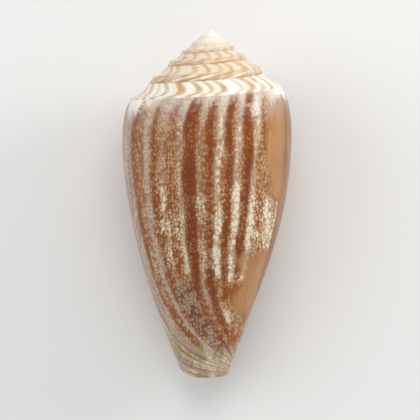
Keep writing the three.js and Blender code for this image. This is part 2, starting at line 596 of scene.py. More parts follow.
    def band_sheet(self, turn: Array) -> Sheet:
        """Sheet of the narrow band of side between the shoulder edge and the suture below it."""
        share = (np.arange(self.band_steps + 1) / self.band_steps)[None, :]
        return self.side_sheet(turn, self.law.band_depth(turn) * share)

    def apex_sheet(self) -> Sheet:
        """Cone over the last turn of the spire, closed at its step.

        Returns:
            The sheet.
        """
        ring = self.band_sheet(self.turns(self.spire_turns, self.spire_turns + 1)).points[:, 0]
        step = self.band_sheet(self.turns(self.spire_turns + 1, self.spire_turns + 1)).points[0]
        ramp = self.ramp_sheet(self.turns(self.spire_turns, self.spire_turns)).points[0]
        rim = np.concatenate([ring, step[1:], ramp[1:]])
        tip = np.zeros_like(rim)
        points = np.stack([rim, mix(rim, tip, 0.5), tip], axis=1)
        turn, middle = np.full(points.shape[:2], self.spire_turns), np.full(points.shape[:2], -0.5)
        return Sheet(points, turn, middle, Skin.RAMP)

    def front_tip(self) -> Sheet:
        """Cone that closes the front end at the axis, inside its last turn.

        Returns:
            The sheet.
        """
        last = self.turns(self.front_turns, self.front_turns)
        ring = self.roll_sheet(self.turns(self.front_turns - 1, self.front_turns)).points[:, -1]
        roll = self.roll_sheet(last).points[0, ::-1]
        chord = self.dish_sheet(last - 1).points[0, ::-1]
        rim = np.concatenate([ring, roll[1:], chord[1:]])
        tip = np.array([0.0, rim[:, 1].mean(), 0.0])
        points = np.stack([rim, np.broadcast_to(tip, rim.shape)], axis=1)
        return self.plain_sheet(points, last, Skin.FRONT)

    def sheets(self) -> list[Sheet]:
        """All sheets of the closed surface.

        Returns:
            The sheets, whose edges meet.
        """
        last = self.turns(0, 1)
        return [
            self.ramp_sheet(self.turns(0, self.spire_turns)),
            self.band_sheet(self.turns(0, self.spire_turns + 1)),
            self.side_sheet(last, self.side_depths(last)),
            self.roll_sheet(self.turns(0, self.front_turns)),
            self.dish_sheet(self.turns(self.canal_end, self.front_turns - 1)),
            self.inside_sheet(),
            self.floor_sheet(),
            self.end_wall(),
            self.lip_sheet(),
            self.apex_sheet(),
            self.front_tip(),
        ]


# ---- Markings, as fields over the growth coordinates ----


@dataclass(frozen=True)
class Line:
    """A mark along a growth line: a bell of a width across it, times a strength."""

    turn: float
    width: float
    strength: float

    def cover(self, growth: Array) -> Array:
        """Strength of the mark at each growth turn."""
        return self.strength * bell(growth, self.turn, self.width)


@dataclass(frozen=True)
class Oval:
    """A mark of limited length: a line's bell times a bell over the depth."""

    line: Line
    depth: float
    reach: float

    def cover(self, growth: Array, depth: Array) -> Array:
        """Strength of the mark at each growth turn and depth."""
        return self.line.cover(growth) * bell(depth, self.depth, self.reach)


@dataclass(frozen=True)
class Streak:
    """One line of colour that the growing edge left, parallel to the lip, on a beat of the growth rhythm."""

    beat: int
    strength: float


@dataclass(frozen=True)
class StreakSet:
    """Streaks of one colour.

    Attributes:
        streaks: The streaks of the back.
        width: Width of a streak of strength 0.8, in turns.
        under_start: Turn from which the even steps of the underside are counted.
        seed: Picks how the streaks wander and fade.
    """

    streaks: tuple[Streak, ...]
    width: float
    under_start: float
    seed: int


@dataclass(frozen=True)
class Spots:
    """Where the points of a sheet lie, as the markings need it.

    Attributes:
        turn: Turn back from the lip.
        depth: Depth down the side, or height up the ramp less 1.
        growth: Turn of the growth line.
        down: Distance down from the shoulder edge, in millimetres.
        uneven: Slow swell that roughens the edges of the zones, in depths.
        under: Share of the underside.
        low: Share of the low part of the side.
    """

    turn: Array
    depth: Array
    growth: Array
    down: Array
    uneven: Array
    under: Array
    low: Array


@dataclass(frozen=True)
class Markings:
    """Where the shell is dark, pale, plain or netted. Turns are counted back from the lip.

    Growth keeps an even rhythm: streaks lie on its beats, dark ones mostly on the even beats and pale or
    lilac ones between them. Those on the underside follow at steps that a sine makes uneven.
    The numbers inside the methods are shares.
    """

    law: GrowthLaw = field(default_factory=GrowthLaw)
    first_beat: float = 0.137
    beat_step: float = 0.0182
    dark: StreakSet = StreakSet(
        (
            Streak(1, 0.4), Streak(5, 0.6), Streak(8, 0.5), Streak(10, 0.3), Streak(12, 1.3),
            Streak(14, 0.7), Streak(16, 0.8), Streak(18, 1.0), Streak(20, 0.3), Streak(24, 0.3),
        ),
        width=0.009, under_start=0.63, seed=21,
    )
    pale: StreakSet = StreakSet(
        (Streak(9, 0.5), Streak(11, 0.7), Streak(15, 0.9), Streak(17, 1.0), Streak(19, 1.0)),
        width=0.008, under_start=0.65, seed=31,
    )
    lilac: StreakSet = StreakSet(
        (Streak(0, 0.6), Streak(2, 0.8), Streak(3, 1.0), Streak(4, 0.7), Streak(7, 1.0), Streak(13, 0.4)),
        width=0.007, under_start=0.67, seed=41,
    )
    # How streaks stray from their growth line, and how they come and go along it.
    wander: float = 0.0028
    wander_stretch: float = 30.0
    fading: float = 0.2
    swell_length: float = 9.0
    swell_shift: float = 7.0
    # Streaks of the underside: step and width in turns, and the sine that makes the steps uneven.
    under_step: float = 0.041
    under_width: float = 0.17
    under_strength: float = 0.75
    under_sway: float = 0.3
    under_sway_rate: float = 3.3
    under_from: Fade = Fade(0.60, 0.64)
    lip_until: Fade = Fade(0.16, 0.20)
    # How growth lines lean under the shoulder edge and down the side.
    ramp_lean: float = 0.024
    lean_reach: float = 0.085
    side_lean: float = 0.006
    upright_depth: float = 0.45
    lean_end: float = 0.7
    # Zones of the side, by the turn of the growth line or by depth.
    underside: Fade = Fade(0.63, 0.67)
    unevenness: float = 0.05
    uneven_length: float = 7.0
    low_side: Fade = Fade(0.59, 0.66)
    bare_from: Fade = Fade(0.43, 0.46)
    bare_until: Fade = Fade(0.60, 0.66)
    bare_below: Fade = Fade(0.57, 0.62)
    thin_below: Fade = Fade(0.60, 0.66)
    low_dark: Line = Line(0.396, 0.012, 0.6)
    low_dark_end: Fade = Fade(0.80, 0.86)
    patch: Oval = Oval(Line(0.535, 0.02, 0.85), 0.455, 0.10)
    scar: Oval = Oval(Line(0.563, 0.0022, 1.0), 0.44, 0.10)
    scar_edge: Fade = Fade(0.560, 0.566)
    past_scar: Fade = Fade(0.563, 0.570)
    low_pale: Oval = Oval(Line(0.424, 0.014, 0.9), 0.77, 0.05)
    lilac_from: Fade = Fade(0.5, 0.7)
    lilac_until: Fade = Fade(0.70, 0.80)
    lilac_cut: Fade = Fade(0.29, 0.32)
    shoulder_gap: Fade = Fade(0.02, 0.08)
    upper_from: Fade = Fade(0.508, 0.525)
    upper_until: Fade = Fade(0.29, 0.36)
    lower_from: Fade = Fade(0.45, 0.48)
    lower_below: Fade = Fade(0.56, 0.61)
    lower_until: Fade = Fade(0.74, 0.80)
    white_below: Fade = Fade(0.28, 0.38)
    white_until: Fade = Fade(0.56, 0.63)
    white_from: Fade = Fade(0.24, 0.28)
    white_line: Line = Line(0.415, 0.008, 0.45)
    white_line_below: Fade = Fade(0.05, 0.12)
    low_white: Line = Line(0.424, 0.014, 0.7)
    low_white_below: Fade = Fade(0.68, 0.74)
    purple: Line = Line(0.314, 0.034, 1.0)
    purple_below: Fade = Fade(0.60, 0.68)
    # The front end starts higher at the left and, less so, at the right.
    front_edge: Fade = Fade(0.885, 0.93)
    left_rise: float = 1.3
    left_turn: float = 0.28
    left_reach: float = 0.15
    right_rise: float = 0.35
    right_turn: float = 0.48
    right_reach: float = 0.12
    # Brown rims of the older whorls, and the painted shadow line in the suture below them.
    rim_from: Fade = Fade(1.0, 1.02)
    rim_edge: Fade = Fade(-0.14, -0.02)
    suture_shadow: Fade = Fade(0.5, 1.0)

    def growth(self, sheet: Sheet) -> Array:
        """Turn of the growth line through each point.

        A growth line is notched on the ramp by a sine, leans forward under the shoulder edge by an
        exponential, and sweeps back at the front end.

        Args:
            sheet: The sheet whose points are asked for.

        Returns:
            The turns.
        """
        depth = sheet.depth
        if sheet.skin is Skin.RAMP:
            notch = self.ramp_lean * (1 + np.sin(math.pi * (depth + 1)))
            return sheet.turn - notch - self.side_lean * self.upright_depth
        lean = self.side_lean * (self.upright_depth - np.minimum(depth, self.lean_end))
        lean = lean + self.ramp_lean * np.exp(-depth / self.lean_reach)
        return sheet.turn - self.law.sweep(depth) - lean

    def spots(self, sheet: Sheet, travel: Array, down: Array) -> Spots:
        """Where the points of a sheet lie, as the markings need it.

        Args:
            sheet: The sheet.
            travel: Distance along the turns, in millimetres.
            down: Distance down from the shoulder edge, in millimetres.

        Returns:
            The places, with the uneven swell of the zones' edges.
        """
        growth = self.growth(sheet)
        uneven = self.unevenness * ripple(travel, down, self.uneven_length, seed=5)
        low = self.low_side.up(sheet.depth + 0.3 * uneven)
        return Spots(sheet.turn, sheet.depth, growth, down, uneven, self.underside.up(growth), low)

    def streaks(self, at: Spots, marks: StreakSet) -> Array:
        """Strength of a set of streaks: bells across the growth lines, uneven along them.

        A streak's middle is the first beat plus its own number of steps, and the stronger it is, the
        wider. The streaks of the underside are bells at the middles of even steps.

        Args:
            at: The places.
            marks: The streaks.

        Returns:
            The strengths, between 0 and 1.
        """
        growth, down = at.growth, at.down
        wander = ripple(down, self.wander_stretch * growth, self.swell_length, marks.seed)
        wandered = growth + self.wander * wander
        total = np.zeros_like(growth)
        for order, streak in enumerate(marks.streaks):
            swell = ripple(down, growth * 0 + self.swell_shift * order, self.swell_length, marks.seed + 1)
            middle = self.first_beat + streak.beat * self.beat_step
            width = marks.width * (0.6 + 0.5 * streak.strength)
            total += streak.strength * (1 + self.fading * swell) * bell(wandered, middle, width)
        steps = (growth - marks.under_start) / self.under_step
        steps = steps + self.under_sway * np.sin(TAU * self.under_sway_rate * growth)
        lines = self.under_strength * bell(np.mod(steps, 1), 0.5, self.under_width)
        hidden = self.under_from.up(growth) + self.lip_until.down(growth)
        return np.clip(total + lines * hidden, 0, 1)

    def dark_cover(self, at: Spots) -> Array:
        """Dark streaks, which end above the plain low zone and thin out low on the rest, and a low dark mark.

        Args:
            at: The places.

        Returns:
            The strengths, between 0 and 1.
        """
        bare = self.bare_from.up(at.growth) * self.bare_until.down(at.growth)
        ended = bare * self.bare_below.up(at.depth + 0.4 * at.uneven)
        thinned = 0.45 * self.thin_below.up(at.depth)
        dark = self.streaks(at, self.dark) * (1 - ended) * (1 - thinned)
        mark = self.low_dark.cover(at.growth) * at.low * self.low_dark_end.down(at.depth)
        return np.clip(dark + mark, 0, 1)

    def pale_cover(self, at: Spots) -> Array:
        """Pale streaks of the upper side, a white patch that ends at the scar, the scar and a low pale mark.

        Args:
            at: The places.

        Returns:
            The strengths, between 0 and 1.
        """
        pale = self.streaks(at, self.pale) * (1 - at.low * (1 - 0.9 * at.under))
        patch = self.patch.cover(at.growth + 0.25 * at.uneven, at.depth + 1.2 * at.uneven)
        pale = pale + patch * (1 - self.scar_edge.up(at.growth) * (1 - at.under))
        scar = self.scar.cover(at.growth, at.depth)
        return np.clip(pale + scar + self.low_pale.cover(at.growth, at.depth), 0, 1)

    def lilac_cover(self, at: Spots) -> Array:
        """Lilac streaks, stronger low on the side and cut short there on the older part.

        Args:
            at: The places.

        Returns:
            The strengths, between 0 and 1.
        """
        cut = 0.85 * self.lilac_until.up(at.depth) * self.lilac_cut.up(at.growth)
        gain = (1 - cut) * (1 + 0.6 * self.lilac_from.up(at.depth))
        return np.clip(self.streaks(at, self.lilac) * gain, 0, 1)

    def plain_cover(self, at: Spots) -> Array:
        """Plain zones at the right: above the white patch, below it, and past the scar.

        Args:
            at: The places.

        Returns:
            The strengths, between 0 and 1.
        """
        shifted = at.growth + 0.25 * at.uneven
        gap, end = self.shoulder_gap.up(at.depth), self.lower_until.down(at.depth)
        upper = gap * self.upper_until.down(at.depth + at.uneven) * self.upper_from.up(shifted)
        lower = self.lower_below.up(at.depth + 0.4 * at.uneven) * end * self.lower_from.up(shifted)
        older = self.past_scar.up(at.growth) * gap * end
        return np.maximum(np.maximum(upper, lower), older) * (1 - 0.85 * at.under)

    def white_cover(self, at: Spots, lilac: Array) -> Array:
        """Ragged white band on the middle of the side, a white line above it and a low white mark.

        Args:
            at: The places.
            lilac: Strength of the lilac streaks, which cut through the white.

        Returns:
            The strengths, between 0 and 1.
        """
        ragged = at.depth + 0.8 * at.uneven
        white = self.white_below.up(ragged) * self.white_until.down(ragged)
        white = white * (1 - 0.6 * self.white_from.down(at.growth))
        line = self.white_line.cover(at.growth) * self.white_line_below.up(at.depth) * (1 - at.low)
        mark = self.low_white.cover(at.growth) * self.low_white_below.up(at.depth)
        return np.clip(np.maximum(white, line) * (1 - 0.8 * lilac) + mark, 0, 1)

    def front_cover(self, at: Spots) -> Array:
        """Cream front end, past a depth that is less towards both sides of the back.

        Args:
            at: The places.

        Returns:
            The strengths, between 0 and 1.
        """
        left = self.left_rise * np.clip(self.left_turn - at.turn, 0, self.left_reach)
        right = self.right_rise * np.clip(at.turn - self.right_turn, 0, self.right_reach) * (1 - at.under)
        return self.front_edge.up(at.depth + left + right + 0.3 * at.uneven)

    def rim_and_suture_shadow_cover(self, at: Spots, skin: Skin) -> Array:
        """Brown rim of the older whorls: 1 on the edge, and above 1, up to 1.8, a painted shadow line in the
        suture below it.

        Args:
            at: The places.
            skin: Whether they are on the side or on the ramp.

        Returns:
            The strengths.
        """
        older = self.rim_from.up(at.turn)
        if skin is Skin.RAMP:
            return older * self.rim_edge.up(at.depth)
        # Painted shadow: on the side the value climbs past 1 towards the suture, for a dark line there.
        return older * (1 + 0.8 * self.suture_shadow.up(at.depth / self.law.band_depth(at.turn)))

    def fields(self, sheet: Sheet, travel: Array, down: Array) -> dict[str, Array]:
        """Vectors for the shader, one triple for each point of a sheet.

        Args:
            sheet: The sheet to mark.
            travel: Distance along the turns from the middle of the back, in millimetres.
            down: Distance down from the shoulder edge, in millimetres.

        Returns:
            growth: travel, distance down, and turn of the growth line.
            streaks: dark streaks, pale streaks, lilac streaks.
            zones: white band, plain zones, front end.
            finish: brown rim, above 1 a painted shadow in the suture, purple tint, number of the skin.
        """
        at = self.spots(sheet, travel, down)
        zero, one = np.zeros_like(at.growth), np.ones_like(at.growth)
        dark = pale = lilac = white = plain = purple = rim = zero
        front = one if sheet.skin in (Skin.INSIDE, Skin.FRONT) else zero
        if sheet.skin in (Skin.SIDE, Skin.RAMP):
            rim = self.rim_and_suture_shadow_cover(at, sheet.skin)
        if sheet.skin is Skin.SIDE:
            dark, pale, lilac = self.dark_cover(at), self.pale_cover(at), self.lilac_cover(at)
            white, plain, front = self.white_cover(at, lilac), self.plain_cover(at), self.front_cover(at)
            purple = self.purple.cover(at.growth) * self.purple_below.up(at.depth)
        return {
            "growth": np.stack([travel, down, at.growth], axis=-1),
            "streaks": np.stack([dark, pale, lilac], axis=-1),
            "zones": np.stack([white, plain, front], axis=-1),
            "finish": np.stack([rim, purple, one * sheet.skin.value], axis=-1),
        }


# ---- Putting the surface into a mesh ----


@dataclass
class ConeShell:
    """The shell: one closed piece with its markings stored on the corners of its facets.

    Angles are in degrees: the front end dips by `pitch` and the shell rolls to the lip by `roll` as it
    lies. The ramp is about `ramp_share` of its edge's radius wide.
    """

    surface: ShellSurface = field(default_factory=ShellSurface)
    markings: Markings = field(default_factory=Markings)
    pitch: float = 9.3
    roll: float = 5.8
    back_middle: float = 0.4
    ramp_share: float = 0.36
    sharp_edge: float = 55.0
    weld: float = 1e-4
    placement: Matrix = field(default_factory=Matrix)

    def lying(self) -> Matrix:
        """Rotation from the shell's own frame to the row's."""
        pitched = Matrix.Rotation(math.radians(self.pitch), 4, "X")
        return pitched @ Matrix.Rotation(math.radians(self.roll), 4, "Y")

    def measures(self, sheet: Sheet) -> tuple[Array, Array]:
        """Distance along the turns from the middle of the back, and down from the shoulder edge.

        The first is the running sum of the radius over the turns; the second is the drop below the edge,
        or on the ramp the slope back to the suture, taken negative.

        Args:
            sheet: The sheet whose points are asked for.

        Returns:
            The two distances, in millimetres.
        """
        radius = np.hypot(sheet.points[..., 0], sheet.points[..., 2])
        law, step = self.surface.law, TAU / self.surface.per_turn
        run = np.cumsum(radius, axis=0) * step
        first = float(sheet.turn[0, 0])
        middle = round((self.back_middle - first) * self.surface.per_turn)
        travel = run - run[np.clip(middle, 0, len(run) - 1)]
        if sheet.skin is Skin.RAMP:
            edge = law.radius(sheet.turn, np.zeros_like(sheet.turn))
            return travel, sheet.depth * edge * self.ramp_share
        return travel, -sheet.points[..., 1] - law.edge_drop(sheet.turn)

    def gather(self) -> tuple[Array, Array, dict[str, Array]]:
        """Strings the sheets together, with two triangles to every cell of every grid.

        Returns:
            The points, the corners of the triangles, and the markings of each point.
        """
        points, triangles, fields = [], [], {}
        start = 0
        for sheet in self.surface.sheets():
            rows, columns = sheet.points.shape[:2]
            index = np.arange(rows * columns).reshape(rows, columns) + start
            a, b, c, d = index[:-1, :-1], index[:-1, 1:], index[1:, 1:], index[1:, :-1]
            triangles.append(np.stack([a, b, c], axis=-1).reshape(-1, 3))
            triangles.append(np.stack([a, c, d], axis=-1).reshape(-1, 3))
            points.append(sheet.points.reshape(-1, 3))
            for name, values in self.markings.fields(sheet, *self.measures(sheet)).items():
                fields.setdefault(name, []).append(values.reshape(-1, 3))
            start += rows * columns
        joined = {name: np.concatenate(values) for name, values in fields.items()}
        return np.concatenate(points), np.concatenate(triangles), joined

    def welded(self, places: Array, corners: Array) -> tuple[Array, Array, Array]:
        """Makes one point of those that meet, and drops the triangles that lose a side by it.

        Args:
            places: The points.
            corners: The points of each triangle.

        Returns:
            The points left, the triangles between them, and the first points of the same triangles.
        """
        steps = np.round(places / self.weld).astype(np.int64)
        _, first, kept = np.unique(steps, axis=0, return_index=True, return_inverse=True)
        faces = kept.reshape(-1)[corners]
        whole = (faces != np.roll(faces, 1, axis=1)).all(axis=1)
        return places[first], faces[whole], corners[whole]

    def build(self) -> bpy.types.Object:
        """Welds the sheets into one closed mesh and puts it where the frame's solid lies.

        Returns:
            The shell, with its markings on the corners of its facets.
        """
        points, corners, fields = self.gather()
        places, faces, corners = self.welded(points, corners)
        self.placement = self.placing(places)
        mesh = bpy.data.meshes.new(PIECE)
        mesh.from_pydata(places.tolist(), [], faces.tolist())
        mesh.transform(self.placement)
        for name, values in fields.items():
            attribute = mesh.attributes.new(name, "FLOAT_VECTOR", "CORNER")
            attribute.data.foreach_set("vector", values[corners.reshape(-1)].astype(np.float32).reshape(-1))
        self.face_outwards(mesh)
        mesh.shade_smooth()
        mesh.set_sharp_from_angle(angle=math.radians(self.sharp_edge))
        shell = bpy.data.objects.new(PIECE, mesh)
        bpy.context.scene.collection.objects.link(shell)
        return shell

    def placing(self, places: Array) -> Matrix:
        """Transform that turns the points to lie down, in metres, and fits them to the frame's solid.

        Args:
            places: The points, in the shell's own frame.

        Returns:
            The transform.
        """
        low, high = (np.array(corner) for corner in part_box(NODE))
        turned = places @ np.array(self.lying().to_3x3()).T
        scale = float(min((high - low) / (turned.max(0) - turned.min(0))))
        shift = (low + high) / 2 - scale * (turned.max(0) + turned.min(0)) / 2
        shift[2] = low[2] - scale * turned[:, 2].min()
        return Matrix.Translation(Vector(shift)) @ Matrix.Scale(scale, 4) @ self.lying()

    def face_outwards(self, mesh: bpy.types.Mesh) -> None:
        """Turns every facet outwards and reports whether the surface is closed.

        Args:
            mesh: The mesh, which is changed.
        """
        edit = bmesh.new()
        edit.from_mesh(mesh)
        bmesh.ops.recalc_face_normals(edit, faces=edit.faces)
        open_edges = sum(1 for edge in edit.edges if not edge.is_manifold)
        volume = edit.calc_volume(signed=True)
        LOG.info("open edges %d, volume %.2f cm3, %d facets", open_edges, volume * 1e6, len(edit.faces))
        edit.to_mesh(mesh)
        edit.free()


# ---- Finishes ----


class Value:
    """A number that varies over a surface: a socket of a node tree that arithmetic can be done with."""

    def __init__(self, tree: bpy.types.NodeTree, socket: Socket) -> None:
        """Wraps a socket of a tree."""
        self.tree = tree
        self.socket = socket

    def math(self, operation: str, *others: "Value | float", clamp: bool = False) -> "Value":
        """Result of a Math node on this value and up to two others.

        Args:
            operation: The node's operation.
            others: The other operands.
            clamp: Whether the result is kept between 0 and 1.

        Returns:
            The result.
        """
        node = self.tree.nodes.new("ShaderNodeMath")
        node.operation = operation
        node.use_clamp = clamp
        self.tree.links.new(self.socket, node.inputs[0])
        for socket, other in zip(node.inputs[1:], others):
            if isinstance(other, Value):
                self.tree.links.new(other.socket, socket)
            else:
                socket.default_value = other
        return Value(self.tree, node.outputs[0])

    def __add__(self, other: "Value | float") -> "Value":
        """Sum."""
        return self.math("ADD", other)

    def __sub__(self, other: "Value | float") -> "Value":
        """Difference."""
        return self.math("SUBTRACT", other)

    def __mul__(self, other: "Value | float") -> "Value":
        """Product."""
        return self.math("MULTIPLY", other)

    def __truediv__(self, other: "Value | float") -> "Value":
        """Quotient."""
        return self.math("DIVIDE", other)

    def __neg__(self) -> "Value":
        """Opposite."""
        return self.math("MULTIPLY", -1.0)

    def __abs__(self) -> "Value":
        """Size without sign."""
        return self.math("ABSOLUTE")

    def inverse(self) -> "Value":
        """One less this, kept between 0 and 1."""
        return (-self).math("ADD", 1.0, clamp=True)

    def smooth(self, low: float, high: float) -> "Value":
        """Smooth step from 0 at low to 1 at high.

        Args:
            low: Where the step starts.
            high: Where it ends.

        Returns:
            The step.
        """
        node = self.tree.nodes.new("ShaderNodeMapRange")
        node.interpolation_type = "SMOOTHSTEP"
        self.tree.links.new(self.socket, node.inputs["Value"])
        node.inputs["From Min"].default_value = low
        node.inputs["From Max"].default_value = high
        return Value(self.tree, node.outputs["Result"])


@dataclass(frozen=True)
class Grain:
    """A noise: its waves per unit of two coordinates, and its detail."""

    first: float
    second: float
    detail: float


@dataclass(frozen=True)
class Nodes:
    """Node tree of a material, with makers for the nodes that a finish is mixed from."""

    tree: bpy.types.NodeTree

    def attribute(self, name: str) -> tuple[Value, Value, Value]:
        """The three numbers of one of the piece's own vectors.

        Args:
            name: Name of the vector.

        Returns:
            Its numbers.
        """
        node = self.tree.nodes.new("ShaderNodeAttribute")
        node.attribute_name = name
        return self.parts(node.outputs["Vector"])

    def parts(self, vector: Socket) -> tuple[Value, Value, Value]:
        """The three numbers of a vector.

        Args:
            vector: The vector.

        Returns:
            Its numbers.
        """
        node = self.tree.nodes.new("ShaderNodeSeparateXYZ")
        self.tree.links.new(vector, node.inputs[0])
        return tuple(Value(self.tree, node.outputs[axis]) for axis in "XYZ")

    def vector(self, *parts: Value) -> Socket:
        """Vector of up to three values.

        Args:
            parts: The values.

        Returns:
            The vector.
        """
        node = self.tree.nodes.new("ShaderNodeCombineXYZ")
        for part, socket in zip(parts, node.inputs):
            self.tree.links.new(part.socket, socket)
        return node.outputs[0]

    def noise(self, first: Value, second: Value, grain: Grain) -> Value:
        """Soft noise between 0 and 1.

        Args:
            first: First coordinate.
            second: Second coordinate.
            grain: The noise's rates along them, and its detail.

        Returns:
            The noise.
        """
        node = self.tree.nodes.new("ShaderNodeTexNoise")
        node.noise_dimensions = "2D"
        node.inputs["Scale"].default_value = 1.0
        node.inputs["Detail"].default_value = grain.detail
        self.tree.links.new(self.vector(first * grain.first, second * grain.second), node.inputs["Vector"])
        return Value(self.tree, node.outputs[0])

    def cells(self, place: Socket, feature: str) -> bpy.types.Node:
        """Scattered cells of about unit size.

        Args:
            place: Where the cells are asked for.
            feature: What is asked of them.

        Returns:
            The node.
        """
        node = self.tree.nodes.new("ShaderNodeTexVoronoi")
        node.voronoi_dimensions = "2D"
        node.feature = feature
        node.inputs["Scale"].default_value = 1.0
        node.inputs["Randomness"].default_value = 1.0
        self.tree.links.new(place, node.inputs["Vector"])
        return node

    def blend(self, first: Blendable, second: Blendable, share: Value) -> Socket:
        """Colour that is `share` of the way from the first to the second.

        Args:
            first: Colour or socket at a share of 0.
            second: Colour or socket at a share of 1.
            share: The share, kept between 0 and 1.

        Returns:
            The colour.
        """
        node = self.tree.nodes.new("ShaderNodeMix")
        node.data_type = "RGBA"
        node.clamp_factor = True
        factor, colours, result = node.inputs[0], node.inputs[6:8], node.outputs[2]
        self.tree.links.new(share.socket, factor)
        for colour, socket in zip((first, second), colours):
            if isinstance(colour, tuple):
                socket.default_value = (*colour, 1.0)
            else:
                self.tree.links.new(colour, socket)
        return result

    def shaded(self, colour: Socket, shade: Value) -> Socket:
        """Colour times a shade.

        Args:
            colour: The colour.
            shade: The shade, 1 for none.

        Returns:
            The product.
        """
        node = self.tree.nodes.new("ShaderNodeVectorMath")
        node.operation = "SCALE"
        self.tree.links.new(colour, node.inputs[0])
        self.tree.links.new(shade.socket, node.inputs["Scale"])
        return node.outputs[0]

    def offset(self, place: Socket, middle: Socket) -> tuple[Value, Value, Value]:
        """The three numbers of a place, counted from a middle.

        Args:
            place: The place.
            middle: What it is counted from.

        Returns:
            The differences.
        """
        node = self.tree.nodes.new("ShaderNodeVectorMath")
        node.operation = "SUBTRACT"
        self.tree.links.new(place, node.inputs[0])
        self.tree.links.new(middle, node.inputs[1])
        return self.parts(node.outputs[0])

    def bump(self, shader: bpy.types.Node, height: Value, distance: float) -> None:
        """Fine relief on a shader.

        Args:
            shader: The shader that gets it.
            height: Height over the surface.
            distance: Metres for a height of one.
        """
        node = self.tree.nodes.new("ShaderNodeBump")
        node.inputs["Strength"].default_value = 1.0
        node.inputs["Distance"].default_value = distance
        self.tree.links.new(height.socket, node.inputs["Height"])
        self.tree.links.new(node.outputs["Normal"], shader.inputs["Normal"])


@dataclass(frozen=True)
class Paint:
    """Colours of a finish, as linear red, green and blue."""

    cream: Colour = (0.48, 0.36, 0.20)
    sand: Colour = (0.50, 0.37, 0.24)
    ochre: Colour = (0.48, 0.31, 0.13)
    white: Colour = (0.78, 0.69, 0.53)
    chalk: Colour = (0.84, 0.80, 0.72)
    lilac: Colour = (0.46, 0.385, 0.335)
    tan: Colour = (0.44, 0.232, 0.088)
    honey: Colour = (0.60, 0.37, 0.16)
    butter: Colour = (0.69, 0.53, 0.32)
    orange: Colour = (0.30, 0.090, 0.015)
    brown: Colour = (0.195, 0.040, 0.007)
    umber: Colour = (0.18, 0.080, 0.046)
    rose: Colour = (0.23, 0.13, 0.085)
    porcelain: Colour = (0.80, 0.76, 0.71)


@dataclass(frozen=True)
class Tents:
    """One scattered grid of pale tents: its pitch in millimetres and how much its cells lean to be full."""

    size: float
    spread: float
    offset: float


@dataclass(frozen=True)
class Cover:
    """What a grid of tents covers, and the heart of each tent, which is 1 only well inside it."""

    tent: Value
    heart: Value


@dataclass(frozen=True)
class Marks:
    """Values that the finish mixes its colours by: those stored on the piece, and noises.

    Attributes:
        travel: Distance along the turns, in millimetres.
        down: Distance down from the shoulder edge, in millimetres.
        growth: Turn of the growth line.
        dark: Dark streaks.
        pale: Pale streaks.
        lilac: Lilac streaks.
        white: White band.
        plain: Plain zones.
        front: Front end.
        rim: Brown rim of older whorls; above 1, a painted shadow line in the suture.
        purple: Purple tint.
        skin: Number of the skin.
        lines: Fine noise along the growth lines.
        rings: Coarser noise along the growth lines.
        blotch: Noise some millimetres across.
        speck: Noise under a millimetre across.
        patch: The blotches about zero.
        edge: Distance down from a ragged shoulder edge, in millimetres.
    """

    travel: Value
    down: Value
    growth: Value
    dark: Value
    pale: Value
    lilac: Value
    white: Value
    plain: Value
    front: Value
    rim: Value
    purple: Value
    skin: Value
    lines: Value
    rings: Value
    blotch: Value
    speck: Value
    patch: Value
    edge: Value


